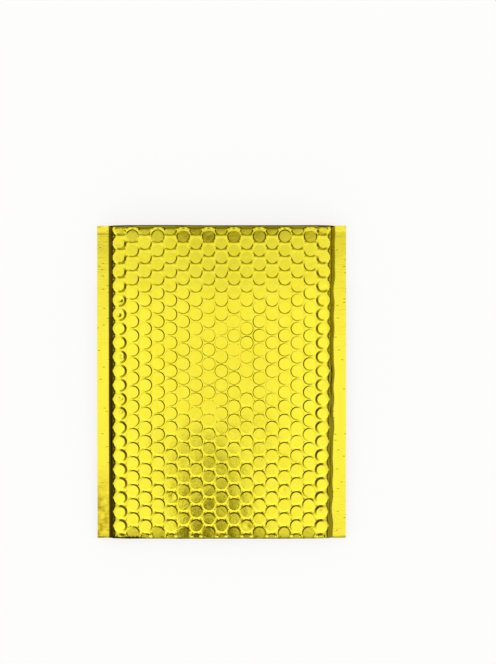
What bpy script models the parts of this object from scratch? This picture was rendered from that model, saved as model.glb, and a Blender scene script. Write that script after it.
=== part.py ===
"""Padded envelope: a bubble-lined metallised pouch lying face up with its flap folded under it.

One laminated web is folded at the bottom into a front and a back panel, welded down both sides,
and carried on past the mouth as a flap. Units are metres, +Z is up, +Y runs towards the flap fold,
and the origin is under the middle of the envelope, on the surface that it lies on.
"""

import math

import bmesh
import bpy

MM = 0.001

# Driving dimensions of the folded envelope.
BODY_LENGTH = 250 * MM  # bottom fold to flap fold
OVERALL_WIDTH = 198 * MM  # over both side seals
FLAP_LENGTH = 46 * MM
WALL = 3.2 * MM  # one thickness of bubble lining and film
PADDED_HALF_WIDTH = 86.2 * MM
SEAL_HALF_WIDTH = 89.5 * MM  # where the padding has come down to the flat seal
SEAL_LEVEL = 4.9 * MM  # height of the flat seals above the surface
SEAL_SQUASH = 0.07  # share of its thickness that the web keeps in a seal

# The strip of adhesive on the flap, and the liner that covers it.
LAYER_GAP = 0.3 * MM
STRIP_THICKNESS = 0.2 * MM
STRIP_LEVEL = WALL + LAYER_GAP
STRIP_WIDTH = 190 * MM
STRIP_DEPTH = 19 * MM
STRIP_FROM_EDGE = 1.5 * MM  # free edge of the flap to the strip
LINER_LEVEL = STRIP_LEVEL + STRIP_THICKNESS + LAYER_GAP
LINER_WIDTH = 197 * MM
LINER_DEPTH = 22 * MM

# Heights of the outer faces above the surface.
FLAP_STACK = LINER_LEVEL + STRIP_THICKNESS + LAYER_GAP  # back panel, over the folded flap
TOP_LEVEL = FLAP_STACK + 2 * WALL + LAYER_GAP  # front face, over the folded flap
BOTTOM_LEVEL = 7.2 * MM  # front face at the bottom fold
BODY_RISE = 2.2 * MM  # how far the front face rises over the lower body
FLAP_RISE = TOP_LEVEL - BOTTOM_LEVEL - BODY_RISE

# Where the panels change level, along the length.
BODY_RISE_LENGTH = 150 * MM
FLAP_RISE_START = 10 * MM
FLAP_RISE_END = 80 * MM
RAMP_START = 30 * MM
RAMP_END = 77 * MM

# The weld that joins the two panels inside each seal.
WELD_THICKNESS = 0.3 * MM
WELD_INSET = 0.7 * MM

FOLD_STEPS = 14
PANEL_STEP = 9 * MM

BOTTOM_FOLD_RADIUS = BOTTOM_LEVEL / 2
BOTTOM_FOLD_Y = -BODY_LENGTH / 2 + BOTTOM_FOLD_RADIUS
TOP_FOLD_RADIUS = TOP_LEVEL / 2
TOP_FOLD_Y = BODY_LENGTH / 2 - TOP_FOLD_RADIUS
MOUTH_Y = TOP_FOLD_Y
FLAP_END_Y = BODY_LENGTH / 2 - FLAP_LENGTH


def ease(start, end, at):
    """0 before start, 1 after end, and a smooth step between them."""
    t = min(max((at - start) / (end - start), 0.0), 1.0)
    return t * t * (3 - 2 * t)


def back_level(y):
    """Height of the back panel's outer face: flat on the surface, then up over the flap."""
    return FLAP_STACK * ease(RAMP_START, RAMP_END, y)


def front_level(y):
    """Height of the front panel's outer face, a little lower towards the bottom fold."""
    body = BODY_RISE * ease(BOTTOM_FOLD_Y, BOTTOM_FOLD_Y + BODY_RISE_LENGTH, y)
    return BOTTOM_LEVEL + body + FLAP_RISE * ease(FLAP_RISE_START, FLAP_RISE_END, y)


def middle_level(y):
    """Height half-way between the two panels' outer faces."""
    return (back_level(y) + front_level(y)) / 2


def panel_points(level, start, end, side):
    """Points (y, z, normal y, normal z) along a panel, with the normal on the given side."""
    count = math.ceil(abs(end - start) / PANEL_STEP)
    points = []
    for k in range(count):
        y = start + (end - start) * k / count
        slope = (level(y + MM) - level(y - MM)) / (2 * MM)
        size = math.hypot(slope, 1)
        points.append((y, level(y), -side * slope / size, side / size))
    return points


def fold_points(centre_y, radius, start, end):
    """Points round a fold, from the start angle to the end angle."""
    points = []
    for k in range(FOLD_STEPS):
        angle = start + (end - start) * k / FOLD_STEPS
        out_y, out_z = math.cos(angle), math.sin(angle)
        points.append((centre_y + radius * out_y, radius + radius * out_z, out_y, out_z))
    return points


def web_points():
    """The web's outer face from the mouth, round the bottom fold and the flap fold, to the flap's end.

    Each point is (y, z, normal y, normal z, share that the side seals squash it).
    """
    quarter_turn = math.pi / 2
    back = panel_points(back_level, MOUTH_Y, BOTTOM_FOLD_Y, side=-1)
    bottom = fold_points(BOTTOM_FOLD_Y, BOTTOM_FOLD_RADIUS, -quarter_turn, -3 * quarter_turn)
    front = panel_points(front_level, BOTTOM_FOLD_Y, TOP_FOLD_Y, side=1)
    top = fold_points(TOP_FOLD_Y, TOP_FOLD_RADIUS, quarter_turn, -quarter_turn)
    flap = panel_points(lambda y: 0.0, TOP_FOLD_Y, FLAP_END_Y, side=-1)
    flap.append((FLAP_END_Y, 0.0, 0.0, -1.0))
    sealed = [(*point, 1.0) for point in back + bottom + front]
    turning = [(*point, 1 - ease(0, FOLD_STEPS, k)) for k, point in enumerate(top)]
    free = [(*point, 0.0) for point in flap]
    return sealed + turning + free


def squashed(y, z, sealed):
    """Height z after the side seals have pressed the web flat, by the share sealed."""
    flat = SEAL_LEVEL - BOTTOM_FOLD_RADIUS
    level = BOTTOM_FOLD_RADIUS + flat * ease(BOTTOM_FOLD_Y, 0.0, y)
    pressed = level + SEAL_SQUASH * (z - middle_level(y))
    return z + (pressed - z) * sealed


def web_section(x, sealed):
    """The web's closed outline at x: out along the outer face and back along the inner one."""
    outer, inner = [], []
    for y, z, normal_y, normal_z, share in web_points():
        inner_y, inner_z = y - WALL * normal_y, z - WALL * normal_z
        outer.append((x, y, squashed(y, z, share * sealed)))
        inner.append((x, inner_y, squashed(inner_y, inner_z, share * sealed)))
    return outer + inner[::-1]


def solid_from_sections(name, sections):
    """A closed mesh object through sections with equal numbers of points, capped at both ends."""
    mesh = bmesh.new()
    loops = [[mesh.verts.new(point) for point in section] for section in sections]
    for near, far in zip(loops, loops[1:]):
        for k, vertex in enumerate(near):
            mesh.faces.new((near[k - 1], vertex, far[k], far[k - 1]))
    half = len(loops[0]) // 2
    for loop in (loops[0], loops[-1]):
        # The outline doubles back on itself, so each cap is a row of quads across the wall.
        for k in range(half - 1):
            mesh.faces.new((loop[k], loop[k + 1], loop[-k - 2], loop[-k - 1]))
    bmesh.ops.recalc_face_normals(mesh, faces=mesh.faces)
    data = bpy.data.meshes.new(name)
    mesh.to_mesh(data)
    mesh.free()
    solid = bpy.data.objects.new(name, data)
    bpy.context.scene.collection.objects.link(solid)
    return solid


def make_weld(side):
    """The weld inside one side seal, a thin strip that both panels are pressed onto."""
    edge_x = OVERALL_WIDTH / 2 - WELD_INSET
    start, end = BOTTOM_FOLD_Y, MOUTH_Y - WELD_INSET
    count = math.ceil((end - start) / PANEL_STEP)
    sections = []
    for k in range(count + 1):
        y = start + (end - start) * k / count
        level = squashed(y, middle_level(y), 1.0)
        low, high = level - WELD_THICKNESS / 2, level + WELD_THICKNESS / 2
        near_x, far_x = side * SEAL_HALF_WIDTH, side * edge_x
        sections.append([(near_x, y, low), (far_x, y, low), (far_x, y, high), (near_x, y, high)])
    weld = solid_from_sections(f"weld_{'right' if side > 0 else 'left'}", sections)
    weld.hide_render = True
    weld.display_type = "WIRE"
    return weld


def make_pouch():
    """The folded web, pressed flat along both sides and welded there."""
    half_width = OVERALL_WIDTH / 2
    stations = [
        (-half_width, 1.0),
        (-SEAL_HALF_WIDTH, 1.0),
        (-PADDED_HALF_WIDTH, 0.0),
        (PADDED_HALF_WIDTH, 0.0),
        (SEAL_HALF_WIDTH, 1.0),
        (half_width, 1.0),
    ]
    pouch = solid_from_sections("pouch", [web_section(x, sealed) for x, sealed in stations])
    for side in (-1, 1):
        weld = pouch.modifiers.new(f"weld {side}", "BOOLEAN")
        weld.operation = "UNION"
        weld.solver = "EXACT"
        weld.object = make_weld(side)
    return pouch


def make_layer(name, width, depth, level):
    """A flat strip across the flap, measured from the flap's free edge."""
    near_y = FLAP_END_Y + STRIP_FROM_EDGE
    far_y = near_y + depth
    top = level + STRIP_THICKNESS
    outline = [(near_y, level), (far_y, level), (far_y, top), (near_y, top)]
    sections = [[(x, y, z) for y, z in outline] for x in (-width / 2, width / 2)]
    return solid_from_sections(name, sections)


def give_material(solid, name, colour, roughness, metallic):
    """A plain finish for one solid."""
    material = bpy.data.materials.new(name)
    material.use_nodes = True
    shader = material.node_tree.nodes["Principled BSDF"]
    shader.inputs["Base Color"].default_value = (*colour, 1.0)
    shader.inputs["Roughness"].default_value = roughness
    shader.inputs["Metallic"].default_value = metallic
    solid.data.materials.append(material)


def main():
    """Clear the scene and make the envelope's three pieces."""
    for old in list(bpy.data.objects):
        bpy.data.objects.remove(old)
    pouch = make_pouch()
    strip = make_layer("adhesive_strip", STRIP_WIDTH, STRIP_DEPTH, STRIP_LEVEL)
    liner = make_layer("release_liner", LINER_WIDTH, LINER_DEPTH, LINER_LEVEL)
    give_material(pouch, "gold metallised film", (0.95, 0.80, 0.05), 0.28, 1.0)
    give_material(strip, "hot-melt adhesive", (0.86, 0.82, 0.66), 0.25, 0.0)
    give_material(liner, "release film", (0.82, 0.80, 0.82), 0.2, 0.0)


main()
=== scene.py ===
"""Padded envelope: a gold metallised bubble mailer, lying face up with its flap folded under it.

Metres, +Z up, +Y towards the flap fold, and the origin under the middle of the envelope. Places on the
web are given flat: u runs across it from its middle line, and s along it. On the front panel s is y.
"""

import math

import bpy
import numpy as np
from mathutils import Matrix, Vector
from mathutils.geometry import delaunay_2d_cdt


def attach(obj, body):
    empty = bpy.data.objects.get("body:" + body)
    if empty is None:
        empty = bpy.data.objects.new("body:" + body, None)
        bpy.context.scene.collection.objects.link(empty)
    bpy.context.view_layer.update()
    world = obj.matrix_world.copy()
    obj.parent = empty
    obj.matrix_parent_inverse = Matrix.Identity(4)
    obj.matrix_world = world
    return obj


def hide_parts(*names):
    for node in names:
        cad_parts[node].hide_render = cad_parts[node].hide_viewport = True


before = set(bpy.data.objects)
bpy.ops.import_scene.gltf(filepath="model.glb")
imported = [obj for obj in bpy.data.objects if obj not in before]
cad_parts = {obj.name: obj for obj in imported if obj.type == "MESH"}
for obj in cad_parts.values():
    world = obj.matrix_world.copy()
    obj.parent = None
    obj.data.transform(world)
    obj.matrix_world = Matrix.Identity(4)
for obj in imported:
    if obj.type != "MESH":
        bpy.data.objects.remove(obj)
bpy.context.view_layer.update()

# --------------------------------------------------------------------------------------------------
# The web. One strip of gold metallised film on bubble lining, folded at the bottom into a back and a
# front panel, and carried over the top as a flap, which lies folded under. Both sides are welded flat.

MM = 0.001
BODY_LENGTH = 250 * MM
HALF_WIDTH = 99 * MM
FLAP_LENGTH = 46 * MM
WALL = 3.2 * MM

TOP_LEVEL = 11.2 * MM  # front face over the folded flap
BOTTOM_LEVEL = 7.2 * MM  # front face at the bottom fold
BODY_RISE = 2.2 * MM
FLAP_RISE = TOP_LEVEL - BOTTOM_LEVEL - BODY_RISE
FLAP_STACK = 4.5 * MM  # back panel over the flap, the adhesive and the liner
BODY_RISE_LENGTH = 150 * MM  # from the bottom fold
FLAP_RISE_SPAN = (10 * MM, 80 * MM)  # in y, where the front panel climbs over the flap
RAMP_SPAN = (30 * MM, 77 * MM)  # and where the back panel does
BOTTOM_RADIUS = BOTTOM_LEVEL / 2
BOTTOM_FOLD_Y = -BODY_LENGTH / 2 + BOTTOM_RADIUS
TOP_RADIUS = TOP_LEVEL / 2
TOP_FOLD_Y = BODY_LENGTH / 2 - TOP_RADIUS
BACK_START = BOTTOM_FOLD_Y - math.pi * BOTTOM_RADIUS  # s where the back panel meets the bottom fold
MOUTH = BACK_START - (TOP_FOLD_Y - BOTTOM_FOLD_Y)  # s of the cut edge at the mouth
FLAP_START = TOP_FOLD_Y + math.pi * TOP_RADIUS
TOP_MIDDLE, BOTTOM_MIDDLE = (TOP_FOLD_Y + FLAP_START) / 2, (BACK_START + BOTTOM_FOLD_Y) / 2
FLAP_END = FLAP_START + TOP_FOLD_Y - (BODY_LENGTH / 2 - FLAP_LENGTH)  # s of the flap's cut edge

PADDED_EDGE = 85.4 * MM  # the padding ends here, and drops to the seal
SEAL_EDGE = 89.4 * MM  # the flat seal starts here
SEAL_LEVEL = 4.9 * MM
SEAL_SKIN = 0.3 * MM  # one wall of the web, pressed flat
SEAL_GAP = 0.02 * MM


def ease(start, end, at):
    """Smooth step from 0 before start to 1 after end: 3t² - 2t³ of the share t of the way."""
    t = np.clip((at - start) / (end - start), 0.0, 1.0)
    return t * t * (3 - 2 * t)


def squared(angle):
    """Radius of a pressed fold at the angle: 1 / (sin⁴ + cos⁴)^¼, a circle with fuller corners."""
    return (np.sin(angle) ** 4 + np.cos(angle) ** 4) ** -0.25


def web_path(s):
    """(y, z) of the web's outer face at the length s along it.

    The front panel is straight in plan, with z easing up from the bottom fold and again over the flap.
    Each fold adds a squared half circle, and the back panel and the flap run on from its end.
    """
    bottom = np.clip((BOTTOM_FOLD_Y - s) / BOTTOM_RADIUS, 0, math.pi)
    top = np.clip((s - TOP_FOLD_Y) / TOP_RADIUS, 0, math.pi)
    bottom_radius, top_radius = BOTTOM_RADIUS * squared(bottom), TOP_RADIUS * squared(top)
    along_back = np.maximum(BACK_START - s, 0)
    along_flap = np.maximum(s - FLAP_START, 0)
    front = np.clip(s, BOTTOM_FOLD_Y, TOP_FOLD_Y)
    y = front + top_radius * np.sin(top) - bottom_radius * np.sin(bottom) + along_back - along_flap
    z = BOTTOM_LEVEL + BODY_RISE * ease(BOTTOM_FOLD_Y, BOTTOM_FOLD_Y + BODY_RISE_LENGTH, front)
    z = z + FLAP_RISE * ease(*FLAP_RISE_SPAN, front)
    z = z - TOP_RADIUS + top_radius * np.cos(top) - BOTTOM_RADIUS + bottom_radius * np.cos(bottom)
    z = z + FLAP_STACK * ease(*RAMP_SPAN, BOTTOM_FOLD_Y + along_back) * (along_back > 0)
    return y, z


def fold_web(u, s, depth):
    """Points of the flat web at (u, s), depth below its outer face, as (x, y, z) in the envelope.

    The outer face follows web_path, and depth is measured against its normal. Across the web, the
    height then slides from there to the flat seal's, in proportion to how far the seal has pressed it.
    """
    h = 0.05 * MM
    y, z = web_path(s)
    y_on, z_on = web_path(s + h)
    y_off, z_off = web_path(s - h)
    length = np.hypot(y_on - y_off, z_on - z_off)
    normal_y, normal_z = -(z_on - z_off) / length, (y_on - y_off) / length
    y, z = y - depth * normal_y, z - depth * normal_z
    # Welded along the panels and the bottom fold, and free on the flap.
    welded = (1 - ease(TOP_FOLD_Y, FLAP_START, s)) * seal_share(u)
    level = BOTTOM_RADIUS + (SEAL_LEVEL - BOTTOM_RADIUS) * ease(BOTTOM_FOLD_Y, 0.0, y)
    skin = SEAL_GAP / 2 + (1 - depth / WALL) * SEAL_SKIN
    pressed = level + normal_z * (skin + (depth < WALL / 2) * crinkles(u, s))
    return np.stack([u + drift(u, y), y, z + (pressed - z) * welded], axis=1)


def seal_share(u):
    """Share of the way down from the padding to the seal: a straight slope with eased ends."""
    t = np.clip((abs(u) - PADDED_EDGE) / (SEAL_EDGE - PADDED_EDGE), 0, 1)
    return t - 0.06 * np.sin(2 * math.pi * t)


def drift(u, y):
    """How far the web has crept sideways at (u, y).

    The right seal is a little wider at the bottom, and its inner edge wanders in and out.
    """
    down = 0.5 - y / BODY_LENGTH
    across = ease(30 * MM, 88 * MM, u) * (1 - ease(90 * MM, 99 * MM, u))
    wander = waves(0 * y, y, np.array([17, 23, 31, 52]) * MM, seed=8) * ease(84 * MM, 89 * MM, u)
    return across * (0.3 * MM - 1.6 * MM * down + 0.9 * MM * wander)


def waves(u, s, lengths, seed):
    """A sum of sine waves of the given lengths, in seeded directions and phases, from -1 to 1."""
    rng = np.random.default_rng(seed)
    total = 0
    for length in lengths:
        turn, phase = rng.uniform(0, 2 * math.pi, 2)
        total = total + np.sin(2 * math.pi * (u * math.cos(turn) + s * math.sin(turn)) / length + phase)
    return total / len(lengths)


def crinkles(u, s):
    """Height of the fine cross creases that the sealing bar leaves."""
    across = waves(u * 0.25, s, np.array([3.1, 4.3, 5.9, 8.2, 13.0]) * MM, seed=5)
    return 0.07 * MM * across


# --------------------------------------------------------------------------------------------------
# The bubbles. They stand in columns, each half a pitch off the next, and run on round both folds. The
# film is drawn over them: flat crowns, steep shoulders, and narrow valleys that almost touch.

COLUMN_PITCH = 10.00 * MM
ROW_PITCH = 11.18 * MM
FIRST_ROW = -113.9 * MM  # s of a bubble in the middle column
EDGE_COLUMN = 8  # columns either side of the middle one on the panels
FLAP_COLUMN = 10  # and on the flap, which has no seals
FOOT_RADIUS = 5.42 * MM
SHOULDER_SLOPE = 0.47  # about 25 degrees
PROUD_SHOULDER = 0.70 * MM  # extra width of the shoulders next to the seals
TOP_LEAN = 0.062  # slope at which the last rows lean over towards the flap fold
BOTTOM_LEAN = 0.075  # and the first row towards the bottom fold
LEAN_ARM = 3.2 * MM  # a leaning crown sinks by its slope times this
TENT = 0.11 * MM  # rise of the film in the corners between three bubbles
CORNER_REACH = 1.14 * MM  # from a bubble's foot to such a corner
DENT_RADIUS = 1.6 * MM
SWELL = 0.25 * MM  # how far the front panel swells and sinks
EDGE_DROP = 0.45 * MM  # and how far it drops towards the seals
SEAL_CRUSH = (85.9 * MM, 86.6 * MM)  # in u, where the bubbles go flat beside a seal
TOP_CRUSH = (5.4 * MM, 5.9 * MM)  # from the middle of the flap fold, where they stand again
BOTTOM_CRUSH = (3.25 * MM, 3.65 * MM)  # and from the middle of the bottom fold
FULL_FLAP = 138.43 * MM  # s from which the bubbles run right out to the web's edges
ROWS = (-24, 28)
POKED_ROWS = (8, 9, 12, 15, 16)  # bubbles of the left column that are poked in on the real one

bubble_rng = np.random.default_rng(11)
bubble_shape = (2 * FLAP_COLUMN + 3, ROWS[1] - ROWS[0] + 1)
tilt_u = bubble_rng.normal(0, 0.0035, bubble_shape)
tilt_s = bubble_rng.normal(0, 0.0035, bubble_shape)
crown_drop = bubble_rng.uniform(0.0, 0.04, bubble_shape) * MM
slack = bubble_rng.uniform(-0.02, 0.035, bubble_shape) * MM
dent_depth = bubble_rng.gamma(0.5, 0.03, bubble_shape) * MM
dent_place = bubble_rng.normal(0, 1.0, (2, *bubble_shape)) * MM
lean_share = bubble_rng.uniform(0.65, 1.12, bubble_shape)
left_column, right_column = FLAP_COLUMN + 1 - EDGE_COLUMN, FLAP_COLUMN + 1 + EDGE_COLUMN
poked = np.isin(ROWS[0] + np.arange(bubble_shape[1]), POKED_ROWS)
dent_depth[left_column] += (0.06 + 0.46 * poked) * MM
dent_depth[right_column] += bubble_rng.gamma(1.0, 0.06, bubble_shape[1]) * MM


def nearest_bubble(u, s):
    """Column and row of the bubble nearest to each point, and the offset from its middle."""
    nearest = None
    for side in (0, 1):
        column = np.floor(u / COLUMN_PITCH).astype(int) + side
        stagger = (column % 2) * 0.5
        row = np.round((s - FIRST_ROW) / ROW_PITCH - stagger).astype(int)
        off_u, off_s = u - column * COLUMN_PITCH, s - FIRST_ROW - (row + stagger) * ROW_PITCH
        found = np.stack([column, row, off_u, off_s])
        if nearest is not None:
            found = np.where(np.hypot(off_u, off_s) < np.hypot(*nearest[2:]), found, nearest)
        nearest = found
    return nearest[0].astype(int), nearest[1].astype(int), nearest[2], nearest[3]


def shoulder(u, s):
    """Width of the shoulders near (u, s): narrow in the middle, and wide towards seals and folds."""
    return (0.58 + 0.48 * ease(0.1, 1.1, np.hypot(u / (90 * MM), s / (122 * MM)))) * MM


def proud(u):
    """Extra shoulder of the bubbles in the columns next to the seals, which stand a little higher."""
    return PROUD_SHOULDER * (abs(u) > (EDGE_COLUMN - 0.5) * COLUMN_PITCH)


def crushed(u, s):
    """Share that the bubbles are pressed flat: full in the seals and round both folds."""
    in_seal = ease(*SEAL_CRUSH, abs(u)) * (1 - ease(TOP_FOLD_Y, FULL_FLAP, s))
    in_top = 1 - ease(*TOP_CRUSH, abs(s - TOP_MIDDLE))
    in_bottom = 1 - ease(*BOTTOM_CRUSH, abs(s - BOTTOM_MIDDLE))
    return np.maximum(in_seal, np.maximum(in_top, in_bottom))


def relief(u, s):
    """How far the film lies below the web's outer face at (u, s).

    On a crown it is a shallow bowl, tilted a little, with a soft dent in some. The shoulder then falls
    at SHOULDER_SLOPE to the valley, which rises in its corners. In the seals and round the folds the
    bubbles are crushed flat.
    """
    column, row, off_u, off_s = nearest_bubble(u, s)
    one = (np.clip(column + FLAP_COLUMN + 1, 0, bubble_shape[0] - 1), row - ROWS[0])
    radius = np.hypot(off_u, off_s)
    extra = proud(u - off_u)
    width = shoulder(u - off_u, s - off_s) + extra
    down = np.clip(1 - (FOOT_RADIUS - radius) / width, 0, 1)
    dent = np.hypot(off_u - dent_place[0][one], off_s - dent_place[1][one]) / DENT_RADIUS
    middle = s - off_s
    lean = TOP_LEAN * ease(110 * MM, 115 * MM, middle) * (middle < TOP_FOLD_Y + 8 * MM)
    lean = lean - BOTTOM_LEAN * ease(114 * MM, 122 * MM, -middle) * (middle > BOTTOM_FOLD_Y - 5 * MM)
    lean = lean * lean_share[one] * np.where(extra > 0, 0.2, 1.0)
    crown = slack[one] + tilt_u[one] * off_u + tilt_s[one] * off_s + lean * off_s
    crown = crown + abs(lean) * LEAN_ARM - SHOULDER_SLOPE * extra
    crown = crown + crown_drop[one] * (radius / FOOT_RADIUS) ** 2 + dent_depth[one] * np.exp(-dent**2)
    valley = SHOULDER_SLOPE * shoulder(u, s)
    valley = valley - TENT * np.clip((radius - FOOT_RADIUS) / CORNER_REACH, 0, 1)
    depth = crown * (1 - down) + valley * down
    depth = depth + (valley - depth) * crushed(u, s)
    on_front = ease(BACK_START, BOTTOM_FOLD_Y, s) * (1 - ease(TOP_FOLD_Y, FLAP_START, s))
    swell = SWELL * waves(u, s, np.array([57, 83, 111, 149]) * MM, seed=3)
    return depth + on_front * (swell + EDGE_DROP * ease(72 * MM, 88 * MM, abs(u)))


def ring(radius, count, inset=0.0):
    """Evenly spaced points on a circle, with the vectors that inset them by shares of the shoulder."""
    angle = np.arange(count) * 2 * math.pi / count
    out = np.stack([np.cos(angle), np.sin(angle)], axis=1)
    return np.hstack([radius * out, -inset * out])


def between_bubbles(shares):
    """Points on the lines half-way to the neighbours, at shares of each line's half length.

    The two corners where three lines meet that belong to this bubble come first.
    """
    corner = (COLUMN_PITCH**2 - ROW_PITCH**2 / 4) / (2 * COLUMN_PITCH)
    tip = np.array([COLUMN_PITCH - corner, 0, 0, 0])
    points = [tip, -tip]
    for share in shares:
        points.append([corner * share, ROW_PITCH / 2, 0, 0])
        for side in (-1, 1):
            end = np.array([corner, side * ROW_PITCH / 2, 0, 0])
            points.append((tip + end) / 2 + (end - tip) / 2 * share)
    return np.array(points)


def bubble_points(offsets, columns, start, end):
    """The given offsets round every bubble of the columns whose middle lies between start and end."""
    column, row = np.meshgrid(np.arange(-columns, columns + 1), np.arange(*ROWS), indexing="ij")
    middle = np.stack([column * COLUMN_PITCH, FIRST_ROW + (row + (column % 2) / 2) * ROW_PITCH], axis=2)
    middle = middle.reshape(-1, 2)
    middle = middle[(middle[:, 1] >= start) & (middle[:, 1] < end)]
    inset = (shoulder(*middle.T) + proud(middle[:, 0]))[:, None, None] * offsets[None, :, 2:]
    return (middle[:, None] + offsets[None, :, :2] + inset).reshape(-1, 2)


def grid_points(across, along):
    """Every pairing of the places across with the places along."""
    return np.stack(np.meshgrid(across, along), axis=2).reshape(-1, 2)


def net(outline, points):
    """A Delaunay net of triangles through the points, inside the outline."""
    corners = [Vector(point) for point in np.vstack([outline, points])]
    edges = [(k, (k + 1) % len(outline)) for k in range(len(outline))]
    places, _, triangles, *_ = delaunay_2d_cdt(corners, edges, [], 1, 1e-7, False)
    return np.array([place[:] for place in places]), np.array(triangles)


# --------------------------------------------------------------------------------------------------
# The pouch: the web cut to length, with its gold outer film, its silver lining and the cut edges.

fine = np.vstack([
    ring(0.0, 1),
    ring(1.4 * MM, 8),
    ring(3.0 * MM, 12),
    ring(FOOT_RADIUS, 24, 1.0),
    ring(FOOT_RADIUS, 24),
    between_bubbles([-0.5, 0.0, 0.5]),
])
coarse = np.vstack([
    ring(0.0, 1),
    ring(FOOT_RADIUS, 16, 1.0),
    ring(FOOT_RADIUS, 16),
    between_bubbles([0.0]),
])
field = np.vstack([
    bubble_points(coarse, EDGE_COLUMN, MOUTH - ROW_PITCH, BACK_START),
    bubble_points(fine, EDGE_COLUMN, BACK_START, FULL_FLAP),
    bubble_points(coarse, FLAP_COLUMN, FULL_FLAP, FLAP_END + ROW_PITCH),
])
edge_valleys = bubble_points(between_bubbles([-0.5, 0.0, 0.5]), EDGE_COLUMN + 1, BACK_START, FULL_FLAP)
field = np.vstack([field, edge_valleys[abs(edge_valleys[:, 0]) > EDGE_COLUMN * COLUMN_PITCH]])
field = field[(abs(field[:, 0]) < 86.1 * MM) | (field[:, 1] > FULL_FLAP)]
field = field[(abs(field[:, 1] - TOP_MIDDLE) > 6.6 * MM) & (abs(field[:, 1] - BOTTOM_MIDDLE) > 4.4 * MM)]
top_lines = np.array([0, 1.0, 2.0, 3.0, 3.9, 4.7, 5.4, 5.9, 6.35]) * MM
bottom_lines = np.array([0, 0.9, 1.8, 2.6, 3.25, 3.65, 4.15]) * MM
across_folds = np.arange(-86, 86.1, 1.0) * MM
folds = np.vstack([
    grid_points(across_folds, np.unique([TOP_MIDDLE - top_lines, TOP_MIDDLE + top_lines])),
    grid_points(across_folds, np.unique([BOTTOM_MIDDLE - bottom_lines, BOTTOM_MIDDLE + bottom_lines])),
])
seal_lines = np.array([86.5, 87.2, 88.0, 88.7, 89.4, 90.1, 91.4, 93.0, 94.8, 96.6, 98.0]) * MM
seal_lines = np.concatenate([-seal_lines, seal_lines])
seals = np.vstack([
    grid_points(seal_lines, np.arange(MOUTH, BACK_START, ROW_PITCH / 4)),
    grid_points(seal_lines, np.arange(BACK_START, FULL_FLAP, ROW_PITCH / 8)),
])


def web_outline(step):
    """The web's flat outline, anticlockwise, with a point about every step."""
    across = np.linspace(-HALF_WIDTH, HALF_WIDTH, round(2 * HALF_WIDTH / step) + 1)[:-1]
    along = np.linspace(MOUTH, FLAP_END, round((FLAP_END - MOUTH) / step) + 1)[:-1]
    near, far = np.full(len(across), MOUTH), np.full(len(across), FLAP_END)
    right, left = np.full(len(along), HALF_WIDTH), np.full(len(along), -HALF_WIDTH)
    middle = (MOUTH + FLAP_END) / 2
    return np.vstack([
        np.stack([across, near], axis=1),
        np.stack([right, along], axis=1),
        np.stack([-across, far], axis=1),
        np.stack([left, 2 * middle - along], axis=1),
    ])


def inside(points, margin):
    """The points that keep the margin from the web's outline."""
    kept = (abs(points[:, 0]) < HALF_WIDTH - margin) & (points[:, 1] > MOUTH + margin)
    return points[kept & (points[:, 1] < FLAP_END - margin)]


outline = web_outline(1.5 * MM)
flat, film = net(outline, inside(np.vstack([field, folds, seals]), 0.5 * MM))
lining_lines = np.array([12, 24, 36, 48, 60, 72, 80, 84.8, 85.6, 86.7, 87.8, 89.0, 89.8, 94]) * MM
lining_lines = np.concatenate([-lining_lines, [0], lining_lines])
lining_points = grid_points(lining_lines, np.arange(MOUTH, FLAP_END, 3.5 * MM))
flat_lining, lining = net(outline, inside(lining_points, 1.5 * MM))
outer = fold_web(*flat.T, relief(*flat.T))
inner = fold_web(*flat_lining.T, np.full(len(flat_lining), WALL))
here = np.arange(len(outline))
on = (here + 1) % len(outline)
rim = np.stack([on, here, here + len(outer), on + len(outer)], axis=1)
pouch_mesh = bpy.data.meshes.new("pouch_web")
faces = film.tolist() + (lining[:, ::-1] + len(outer)).tolist() + rim.tolist()
pouch_mesh.from_pydata(np.vstack([outer, inner]), [], faces)
finish_of_face = np.repeat([0, 1, 2], [len(film), len(lining), len(rim)])
pouch_mesh.polygons.foreach_set("material_index", finish_of_face)
pouch_mesh.shade_smooth()
pouch_mesh.set_sharp_from_angle(angle=math.radians(70))

# The film creases sharply where a shoulder meets its crown, and where it meets the valley.
_, _, off_u, off_s = nearest_bubble(*flat.T)
inset = FOOT_RADIUS - np.hypot(off_u, off_s)
standing = crushed(*flat.T) < 0.5
at_foot = standing & (abs(inset) < 0.02 * MM)
width = shoulder(flat[:, 0] - off_u, flat[:, 1] - off_s) + proud(flat[:, 0] - off_u)
at_crown = standing & (abs(inset - width) < 0.02 * MM)
creased = np.zeros((2, len(outer) + len(inner)), bool)
creased[:, :len(outer)] = at_foot, at_crown
edge_ends = np.zeros(2 * len(pouch_mesh.edges), np.int32)
pouch_mesh.edges.foreach_get("vertices", edge_ends)
edge_ends = edge_ends.reshape(-1, 2)
sharp = (creased[:, edge_ends[:, 0]] & creased[:, edge_ends[:, 1]]).any(axis=0)
cut_edges = np.zeros(len(sharp), bool)
pouch_mesh.edges.foreach_get("use_edge_sharp", cut_edges)
pouch_mesh.edges.foreach_set("use_edge_sharp", sharp | cut_edges)

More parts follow.
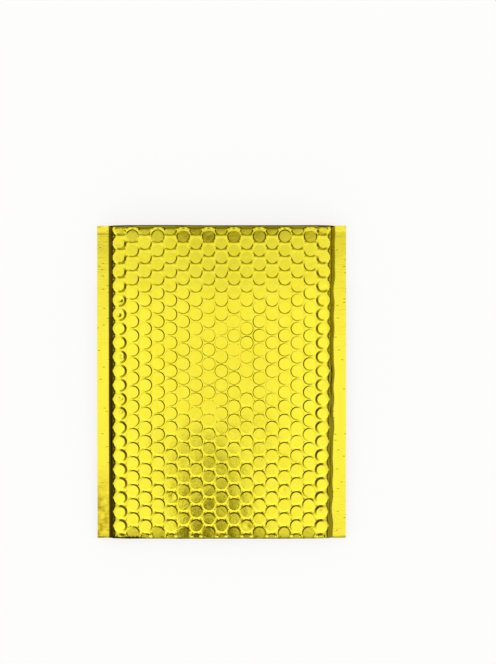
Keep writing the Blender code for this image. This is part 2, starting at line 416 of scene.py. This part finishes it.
# Three shares drive the finish: sealed is 1 in the seals, worn is where the seals are painted a darker
# orange in patches, and crease is painted shade, where the film is painted darker in the grooves beside
# the seals and round both folds.
all_u, all_s = np.vstack([flat, flat_lining]).T
sealed = seal_share(all_u)
_, _, off_u, off_s = nearest_bubble(all_u, all_s)
beside = np.hypot(off_u, off_s) > FOOT_RADIUS + 0.02 * MM
painted_shade_share = np.maximum(ease(82.8 * MM, 84.6 * MM, abs(all_u)) * beside, abs(all_u) > 85.6 * MM)
painted_shade_share = painted_shade_share * (1 - ease(SEAL_EDGE - 0.1 * MM, SEAL_EDGE + 0.3 * MM, abs(all_u)))
painted_shade_share = painted_shade_share * (1 - ease(TOP_FOLD_Y, FLAP_START, all_s)) * np.where(all_u < 0, 1.0, 0.76)
patchy = waves(all_u, 0 * all_s, np.array([13, 19, 31, 47]) * MM, seed=4)
# Painted shade round both folds too, patchy along them and strongest at the lower left corner.
top_fold_shade = (0.78 + 0.08 * patchy) * (1 - ease(5.9 * MM, 6.35 * MM, abs(all_s - TOP_MIDDLE)))
low_corner = ease(55 * MM, 70 * MM, -all_u)
bottom_fold_shade = 0.88 + 0.30 * patchy + 0.30 * low_corner
from_fold = abs(all_s - BOTTOM_MIDDLE) - 0.9 * MM * low_corner
bottom_fold_shade = bottom_fold_shade * (1 - ease(3.65 * MM, 4.15 * MM, from_fold))
folded = np.maximum(top_fold_shade, bottom_fold_shade) * (1 - ease(86 * MM, 90 * MM, abs(all_u)))
painted_shade_share = np.clip(np.maximum(painted_shade_share, folded), 0, 1)
# The seals are painted a darker orange, patchily: low on the left seal, and towards the top of both.
low_left = ease(60 * MM, 105 * MM, -all_s) * (all_u < 0)
low_left = low_left * (0.70 + 0.30 * ease(90 * MM, 98 * MM, abs(all_u)))
seal_darkening = sealed * np.maximum(low_left, 0.20 * ease(88 * MM, 108 * MM, all_s))
for label, values in (("sealed", sealed), ("crease_shade", painted_shade_share), ("seal_darkening", seal_darkening)):
    pouch_mesh.attributes.new(label, "FLOAT", "POINT").data.foreach_set("value", values.astype(np.float32))
pouch = bpy.data.objects.new("pouch_shell", pouch_mesh)
bpy.context.scene.collection.objects.link(pouch)


def new_material(name):
    """A material with its shader's node, and functions that add a node and join two sockets."""
    material = bpy.data.materials.new(name)
    material.use_nodes = True
    tree = material.node_tree

    def add(kind, **settings):
        """A new node, with its properties and its named inputs set."""
        node = tree.nodes.new(kind)
        for key, value in settings.items():
            if hasattr(node, key):
                setattr(node, key, value)
            else:
                node.inputs[key].default_value = value
        return node

    return material, tree.nodes["Principled BSDF"], add, tree.links.new


GOLD, DEEP_GOLD = (1.0, 0.91, 0.075, 1), (0.93, 0.78, 0.025, 1)
PRESSED_GOLD = (0.97, 0.84, 0.055, 1)  # in the seals
# A darker orange painted into the seals in patches and in the ticks.
SEAL_DARK_ORANGE = (0.44, 0.27, 0.007, 1)
# Painted shade: the near-black gold painted into the grooves beside the seals and round the folds.
PAINTED_SHADE_GOLD = (0.05, 0.035, 0.0002, 1)
EDGE_TINT = (1.0, 0.85, 0.15, 1)  # of the film seen at a glancing angle
BAR_LINE_Y = 0.1178
BAR_LINE_HALF_WIDTH = 0.00035


def gold_film():
    """Metallised film with a gold lacquer: nearly a mirror, crinkled finely, duller in the seals.

    The grooves and folds are painted darker as painted shade, and the seals are painted a darker orange in
    patches and ticks, so these stay dark under any light.
    """
    material, shader, add, join = new_material("gold_film")
    place = add("ShaderNodeTexCoord")
    shader.inputs["Metallic"].default_value = 1.0
    shader.inputs["Specular Tint"].default_value = EDGE_TINT
    patches = add("ShaderNodeTexNoise", Scale=150.0, Detail=4.0, Roughness=0.6)
    join(place.outputs["Object"], patches.inputs["Vector"])
    colour = add("ShaderNodeMix", data_type="RGBA")
    colour.inputs[6].default_value = GOLD
    colour.inputs[7].default_value = DEEP_GOLD
    join(patches.outputs["Fac"], colour.inputs[0])
    sealed = add("ShaderNodeAttribute", attribute_name="sealed")
    seal_darkening = add("ShaderNodeAttribute", attribute_name="seal_darkening")
    patch_noise = add("ShaderNodeTexNoise", Scale=170.0, Detail=4.0, Roughness=0.65)
    join(place.outputs["Object"], patch_noise.inputs["Vector"])
    patch_share = add("ShaderNodeMapRange")
    patch_share.inputs["From Min"].default_value = 0.33
    patch_share.inputs["From Max"].default_value = 0.66
    join(patch_noise.outputs["Fac"], patch_share.inputs["Value"])
    orange_patches = add("ShaderNodeMath", operation="MULTIPLY")
    join(seal_darkening.outputs["Fac"], orange_patches.inputs[0])
    join(patch_share.outputs["Result"], orange_patches.inputs[1])
    # Short ticks in the seals, painted shade of small wrinkles: cells wider than they are long, with a
    # small dark middle in some.
    cells = add("ShaderNodeMapping")
    cells.inputs["Scale"].default_value = (150.0, 390.0, 1.0)
    join(place.outputs["Object"], cells.inputs["Vector"])
    ticks = add("ShaderNodeTexVoronoi", Scale=1.0)
    ticks.voronoi_dimensions = "2D"
    join(cells.outputs["Vector"], ticks.inputs["Vector"])
    tick = add("ShaderNodeMapRange")
    tick.inputs["From Min"].default_value = 0.21
    tick.inputs["From Max"].default_value = 0.10
    join(ticks.outputs["Distance"], tick.inputs["Value"])
    some = add("ShaderNodeMath", operation="GREATER_THAN")
    some.inputs[1].default_value = 0.72
    join(ticks.outputs["Color"], some.inputs[0])
    ticked = add("ShaderNodeMath", operation="MULTIPLY")
    join(tick.outputs["Result"], ticked.inputs[0])
    join(some.outputs[0], ticked.inputs[1])
    # The sealing bar's end has left one sharp line across, near the top.
    axes = add("ShaderNodeSeparateXYZ")
    join(place.outputs["Object"], axes.inputs[0])
    bar_end = add("ShaderNodeMath", operation="COMPARE")
    bar_end.inputs[1].default_value = BAR_LINE_Y
    bar_end.inputs[2].default_value = BAR_LINE_HALF_WIDTH
    join(axes.outputs["Y"], bar_end.inputs[0])
    left_end = add("ShaderNodeMath", operation="LESS_THAN")
    left_end.inputs[1].default_value = 0.0
    join(axes.outputs["X"], left_end.inputs[0])
    bar_line = add("ShaderNodeMath", operation="MULTIPLY")
    join(bar_end.outputs[0], bar_line.inputs[0])
    join(left_end.outputs[0], bar_line.inputs[1])
    marks = add("ShaderNodeMath", operation="MAXIMUM")
    join(ticked.outputs[0], marks.inputs[0])
    join(bar_line.outputs[0], marks.inputs[1])
    in_seals = add("ShaderNodeMath", operation="MULTIPLY")
    join(marks.outputs[0], in_seals.inputs[0])
    join(sealed.outputs["Fac"], in_seals.inputs[1])
    faint = add("ShaderNodeMath", operation="MULTIPLY")
    faint.inputs[1].default_value = 0.8
    join(in_seals.outputs[0], faint.inputs[0])
    darkening = add("ShaderNodeMath", operation="MAXIMUM")
    join(orange_patches.outputs[0], darkening.inputs[0])
    join(faint.outputs[0], darkening.inputs[1])
    pressed = add("ShaderNodeMix", data_type="RGBA")
    pressed.inputs[7].default_value = PRESSED_GOLD
    join(sealed.outputs["Fac"], pressed.inputs[0])
    join(colour.outputs[2], pressed.inputs[6])
    # The seals are painted a darker orange in patches, in the ticks and in the bar's line.
    seal_darkened = add("ShaderNodeMix", data_type="RGBA")
    seal_darkened.inputs[7].default_value = SEAL_DARK_ORANGE
    join(darkening.outputs[0], seal_darkened.inputs[0])
    join(pressed.outputs[2], seal_darkened.inputs[6])
    # Painted shade: the grooves beside the seals and the folds are painted near-black gold.
    crease_shade = add("ShaderNodeAttribute", attribute_name="crease_shade")
    shade_mixed = add("ShaderNodeMix", data_type="RGBA")
    shade_mixed.inputs[7].default_value = PAINTED_SHADE_GOLD
    join(crease_shade.outputs["Fac"], shade_mixed.inputs[0])
    join(seal_darkened.outputs[2], shade_mixed.inputs[6])
    join(shade_mixed.outputs[2], shader.inputs["Base Color"])
    rough = add("ShaderNodeMapRange")
    rough.inputs["To Min"].default_value = 0.10
    rough.inputs["To Max"].default_value = 0.18
    join(sealed.outputs["Fac"], rough.inputs["Value"])
    join(rough.outputs["Result"], shader.inputs["Roughness"])
    crumple = add("ShaderNodeTexNoise", Scale=420.0, Detail=4.0, Roughness=0.6)
    join(place.outputs["Object"], crumple.inputs["Vector"])
    bump = add("ShaderNodeBump", Strength=0.5, Distance=0.00008)
    join(crumple.outputs["Fac"], bump.inputs["Height"])
    stretch = add("ShaderNodeMapping")
    stretch.inputs["Scale"].default_value = (90.0, 620.0, 90.0)
    join(place.outputs["Object"], stretch.inputs["Vector"])
    creases = add("ShaderNodeTexNoise", Scale=1.0, Detail=2.5, Roughness=0.6)
    join(stretch.outputs["Vector"], creases.inputs["Vector"])
    height = add("ShaderNodeMath", operation="MULTIPLY")
    join(creases.outputs["Fac"], height.inputs[0])
    join(sealed.outputs["Fac"], height.inputs[1])
    cross_bump = add("ShaderNodeBump", Strength=0.8, Distance=0.00010)
    join(height.outputs[0], cross_bump.inputs["Height"])
    join(bump.outputs["Normal"], cross_bump.inputs["Normal"])
    join(cross_bump.outputs["Normal"], shader.inputs["Normal"])
    return material


def silver_lining():
    """The inner film: bare metallised silver, softer and more crumpled."""
    material, shader, add, join = new_material("silver_lining")
    place = add("ShaderNodeTexCoord")
    shader.inputs["Metallic"].default_value = 1.0
    shader.inputs["Base Color"].default_value = (0.74, 0.74, 0.76, 1)
    crumple = add("ShaderNodeTexNoise", Scale=160.0, Detail=4.0)
    join(place.outputs["Object"], crumple.inputs["Vector"])
    rough = add("ShaderNodeMapRange")
    rough.inputs["To Min"].default_value = 0.25
    rough.inputs["To Max"].default_value = 0.45
    join(crumple.outputs["Fac"], rough.inputs["Value"])
    join(rough.outputs["Result"], shader.inputs["Roughness"])
    bump = add("ShaderNodeBump", Strength=0.6, Distance=0.0003)
    join(crumple.outputs["Fac"], bump.inputs["Height"])
    join(bump.outputs["Normal"], shader.inputs["Normal"])
    return material


def cut_edge():
    """The knife-cut edge: clear plastic films stacked, milky from the cutting."""
    material, shader, add, join = new_material("cut_edge")
    place = add("ShaderNodeTexCoord")
    shader.inputs["Roughness"].default_value = 0.45
    layers = add("ShaderNodeTexNoise", Scale=900.0, Detail=2.0)
    join(place.outputs["Object"], layers.inputs["Vector"])
    colour = add("ShaderNodeMix", data_type="RGBA")
    colour.inputs[6].default_value = (0.50, 0.45, 0.26, 1)
    colour.inputs[7].default_value = (0.64, 0.60, 0.42, 1)
    join(layers.outputs["Fac"], colour.inputs[0])
    join(colour.outputs[2], shader.inputs["Base Color"])
    return material


for finish in (gold_film(), silver_lining(), cut_edge()):
    pouch_mesh.materials.append(finish)
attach(pouch, "root")
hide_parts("pouch")

# --------------------------------------------------------------------------------------------------
# The adhesive: a band of clear hot melt coated across the flap, along its free edge. The coating head
# leaves fine ribs along the band, its long edges are rounded, and its ends are a little uneven.

STRIP_HALF_WIDTH = 95 * MM
STRIP_START, STRIP_END = 80.5 * MM, 99.5 * MM  # in y
STRIP_LEVEL = 3.5 * MM
STRIP_THICKNESS = 0.2 * MM


def thin_sheet(name, x, y, under, over):
    """A closed sheet between two faces, given as grids of x, of y and of the height of each face."""
    rows, columns = x.shape
    points = np.vstack([np.stack([x, y, z], axis=2).reshape(-1, 3) for z in (under, over)])
    corner = (np.arange(rows - 1)[:, None] * columns + np.arange(columns - 1)).ravel()
    square = np.stack([corner, corner + columns, corner + columns + 1, corner + 1], axis=1)
    place = np.arange(rows * columns).reshape(rows, columns)
    loop = np.concatenate([place[:-1, 0], place[-1, :-1], place[:0:-1, -1], place[0, :0:-1]])
    after = np.roll(loop, -1)
    edge = np.stack([loop, after, after + rows * columns, loop + rows * columns], axis=1)
    sheet_mesh = bpy.data.meshes.new(name)
    faces = square[:, ::-1].tolist() + (square + rows * columns).tolist() + edge.tolist()
    sheet_mesh.from_pydata(points, [], faces)
    sheet_mesh.shade_smooth()
    sheet_mesh.set_sharp_from_angle(angle=math.radians(40))
    sheet = bpy.data.objects.new(name, sheet_mesh)
    bpy.context.scene.collection.objects.link(sheet)
    return sheet


def hot_melt():
    """Pressure-sensitive hot melt: pale and glossy, with ribs along the band and a faint mottle."""
    material, shader, add, join = new_material("hot_melt")
    place = add("ShaderNodeTexCoord")
    stretch = add("ShaderNodeMapping")
    stretch.inputs["Scale"].default_value = (12.0, 900.0, 1.0)
    join(place.outputs["Object"], stretch.inputs["Vector"])
    ribs = add("ShaderNodeTexNoise", Scale=1.0, Detail=2.0)
    join(stretch.outputs["Vector"], ribs.inputs["Vector"])
    colour = add("ShaderNodeMix", data_type="RGBA")
    colour.inputs[6].default_value = (0.88, 0.84, 0.68, 1)
    colour.inputs[7].default_value = (0.80, 0.75, 0.58, 1)
    join(ribs.outputs["Fac"], colour.inputs[0])
    join(colour.outputs[2], shader.inputs["Base Color"])
    bump = add("ShaderNodeBump", Strength=0.6, Distance=0.00005)
    join(ribs.outputs["Fac"], bump.inputs["Height"])
    join(bump.outputs["Normal"], shader.inputs["Normal"])
    shader.inputs["Roughness"].default_value = 0.22
    return material


across, along = np.meshgrid(np.linspace(-1, 1, 161), np.linspace(-1, 1, 21), indexing="ij")
strip_y = (STRIP_START + STRIP_END) / 2 + (STRIP_END - STRIP_START) / 2 * along
ragged = waves(strip_y, strip_y, np.array([3, 5, 8]) * MM, seed=21) * across**15
strip_x = STRIP_HALF_WIDTH * across + 0.5 * MM * (ragged - across**15)
strip_y = strip_y + 0.25 * MM * waves(strip_x, 0 * strip_x, np.array([6, 11, 19]) * MM, seed=22) * along**9
rounded = 0.25 + 0.75 * np.sqrt(1 - along**8)
unevenness = 0.02 * MM * waves(strip_x, strip_y, np.array([9, 14, 22]) * MM, seed=23)
strip_under = np.full(strip_x.shape, STRIP_LEVEL)
strip = thin_sheet("adhesive_band", strip_x, strip_y, strip_under,
                   strip_under + (STRIP_THICKNESS + unevenness) * rounded)
strip.data.materials.append(hot_melt())
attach(strip, "root")
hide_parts("adhesive_strip")

# --------------------------------------------------------------------------------------------------
# The release liner: a strip of siliconed film over the adhesive, wider than the band by a finger's edge
# so that it can be peeled off. It lies loosely, in shallow waves, and the finger's edge curls up a little.

LINER_HALF_WIDTH = 98.5 * MM
LINER_START, LINER_END = 80.5 * MM, 102.5 * MM  # in y
LINER_LEVEL = 4.0 * MM
LINER_THICKNESS = 0.2 * MM


def release_film():
    """Siliconed film: smooth, white and slightly greasy in its shine, with faint crinkles."""
    material, shader, add, join = new_material("release_film")
    place = add("ShaderNodeTexCoord")
    crinkle = add("ShaderNodeTexNoise", Scale=120.0, Detail=4.0)
    join(place.outputs["Object"], crinkle.inputs["Vector"])
    colour = add("ShaderNodeMix", data_type="RGBA")
    colour.inputs[6].default_value = (0.84, 0.83, 0.84, 1)
    colour.inputs[7].default_value = (0.78, 0.77, 0.80, 1)
    join(crinkle.outputs["Fac"], colour.inputs[0])
    join(colour.outputs[2], shader.inputs["Base Color"])
    rough = add("ShaderNodeMapRange")
    rough.inputs["To Min"].default_value = 0.16
    rough.inputs["To Max"].default_value = 0.30
    join(crinkle.outputs["Fac"], rough.inputs["Value"])
    join(rough.outputs["Result"], shader.inputs["Roughness"])
    bump = add("ShaderNodeBump", Strength=0.5, Distance=0.0001)
    join(crinkle.outputs["Fac"], bump.inputs["Height"])
    join(bump.outputs["Normal"], shader.inputs["Normal"])
    return material


liner_x = LINER_HALF_WIDTH * across
liner_y = (LINER_START + LINER_END) / 2 + (LINER_END - LINER_START) / 2 * along
loose = 0.05 * MM * waves(liner_x, liner_y * 0.4, np.array([23, 37, 61]) * MM, seed=31)
liner_under = LINER_LEVEL + loose + 0.06 * MM * ease(0.75, 1.0, along)
liner = thin_sheet("liner_strip", liner_x, liner_y, liner_under, liner_under + LINER_THICKNESS)
liner.data.materials.append(release_film())
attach(liner, "root")
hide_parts("release_liner")

# --------------------------------------------------------------------------------------------------
# The floor, the light and the camera. A pale table under a broad soft light, which leans a little towards
# the bottom of the envelope; a darker band of room round that light, and bright low surroundings. The
# light dims to the north, and two dark shapes in its south show in the film as a dark patch. Dim light is
# yellow. The camera looks straight down, from a little above and to the right of the envelope's middle.

CAMERA_HEIGHT = 0.50
VIEW_LENGTH = 0.522  # of the picture's long side, on the envelope's face
CAMERA_PLACE = (21 * MM, 39.9 * MM)  # towards the envelope's upper right
FLOOR_HALF_WIDTH = 6.0
FLOOR_DROP = 0.0005
DIM_LIGHT = (1.0, 0.88, 0.10, 1)
BACKDROP = 0.95  # strength of the sky where the camera sees it directly

floor_mesh = bpy.data.meshes.new("floor")
floor_corners = [(-1, -1), (1, -1), (1, 1), (-1, 1)]
floor_points = [(FLOOR_HALF_WIDTH * x, FLOOR_HALF_WIDTH * y, 0) for x, y in floor_corners]
floor_mesh.from_pydata(floor_points, [], [(0, 1, 2, 3)])
floor = bpy.data.objects.new("floor", floor_mesh)
bpy.context.scene.collection.objects.link(floor)
paper, floor_shader, _, _ = new_material("pale_floor")
floor_shader.inputs["Base Color"].default_value = (0.35, 0.35, 0.35, 1)
floor_shader.inputs["Roughness"].default_value = 0.9
floor_shader.inputs["Emission Color"].default_value = (1, 1, 1, 1)
floor_shader.inputs["Emission Strength"].default_value = 0.72
floor_mesh.materials.append(paper)
floor.location.z = -FLOOR_DROP
floor.visible_glossy = False

world = bpy.data.worlds.new("studio")
bpy.context.scene.world = world
world.use_nodes = True
sky = world.node_tree


def sky_node(kind, *inputs, **settings):
    """A node of the world's tree, with its inputs set or joined in order."""
    node = sky.nodes.new(kind)
    for key, value in settings.items():
        setattr(node, key, value)
    for socket, value in zip(node.inputs, inputs):
        if isinstance(value, bpy.types.NodeSocket):
            sky.links.new(value, socket)
        elif value is not None:
            socket.default_value = value
    return node.outputs[0]


def calc(operation, *values):
    """One step of arithmetic on the world's values."""
    return sky_node("ShaderNodeMath", *values, operation=operation)


def slope(value, low, high):
    """0 where value is at low, 1 at high, eased between."""
    node = sky.nodes.new("ShaderNodeMapRange")
    node.interpolation_type = "SMOOTHSTEP"
    sky.links.new(value, node.inputs["Value"])
    node.inputs["From Min"].default_value = low
    node.inputs["From Max"].default_value = high
    return node.outputs["Result"]


direction = sky_node("ShaderNodeTexCoord")
split = sky.nodes.new("ShaderNodeSeparateXYZ")
sky.links.new(direction, split.inputs[0])
east, north, up = split.outputs
# The overhead light: brighter to both sides, dimmer to the north and the far south, with two dark shapes
# between, a wide one and a narrow one inside it.
level = calc("MULTIPLY_ADD", calc("ABSOLUTE", calc("ADD", east, 0.04)), 0.7, 0.965)
level = calc("MINIMUM", level, 1.09)
level = calc("MULTIPLY_ADD", calc("MAXIMUM", north, 0.0), -1.4, level)
far = calc("MULTIPLY", calc("MAXIMUM", calc("SUBTRACT", north, 0.21), 0.0), 2.6)
far = calc("MULTIPLY", far, slope(calc("ABSOLUTE", calc("ADD", east, 0.06)), 0.17, 0.05))
level = calc("MAXIMUM", calc("SUBTRACT", level, far), 0.12)
wide = calc("MULTIPLY", slope(calc("ABSOLUTE", calc("ADD", east, 0.049)), 0.050, 0.030),
            slope(north, -0.198, -0.222))
narrow = calc("MULTIPLY", slope(calc("ABSOLUTE", calc("ADD", east, 0.070)), 0.040, 0.018),
              slope(north, -0.262, -0.282))
level = calc("MULTIPLY", level, calc("MULTIPLY_ADD", wide, -0.42, 1.0))
level = calc("MULTIPLY", level, calc("MULTIPLY_ADD", narrow, -0.85, 1.0))
level = calc("MULTIPLY", level, calc("MULTIPLY_ADD", slope(north, -0.33, -0.42), -0.45, 1.0))
# The dark room round it, and the bright surroundings below that.
room = calc("MULTIPLY_ADD", north, -0.24, calc("MULTIPLY_ADD", calc("ABSOLUTE", east), -0.30, 0.27))
room = calc("MAXIMUM", room, 0.04)
leaning = calc("MULTIPLY_ADD", north, -0.15, calc("MULTIPLY", up, 0.989))
overhead = slope(leaning, 0.86, 0.90)
sides = calc("MULTIPLY_ADD", calc("ABSOLUTE", east), -0.10, leaning)
around = calc("MULTIPLY", slope(sides, 0.715, 0.56), slope(up, -0.02, 0.06))
lit = calc("ADD", room, calc("MULTIPLY", calc("SUBTRACT", level, room), overhead))
lit = calc("ADD", lit, calc("MULTIPLY", around, 0.9))
seen = sky.nodes.new("ShaderNodeLightPath")
to_backdrop = calc("SUBTRACT", BACKDROP, lit)
strength = calc("MULTIPLY_ADD", seen.outputs["Is Camera Ray"], to_backdrop, lit)
tone = sky.nodes.new("ShaderNodeMix")
tone.data_type = "RGBA"
tone.inputs[6].default_value = DIM_LIGHT
tone.inputs[7].default_value = (1, 1, 1, 1)
sky.links.new(slope(strength, 0.1, 0.7), tone.inputs[0])
sky.links.new(tone.outputs[2], sky.nodes["Background"].inputs["Color"])
sky.links.new(strength, sky.nodes["Background"].inputs["Strength"])

camera_data = bpy.data.cameras.new("camera")
camera_data.lens = camera_data.sensor_width * CAMERA_HEIGHT / VIEW_LENGTH
camera = bpy.data.objects.new("camera", camera_data)
bpy.context.scene.collection.objects.link(camera)
camera.location = (*CAMERA_PLACE, CAMERA_HEIGHT + TOP_LEVEL)
bpy.context.scene.camera = camera
bpy.context.scene.view_settings.view_transform = "Standard"
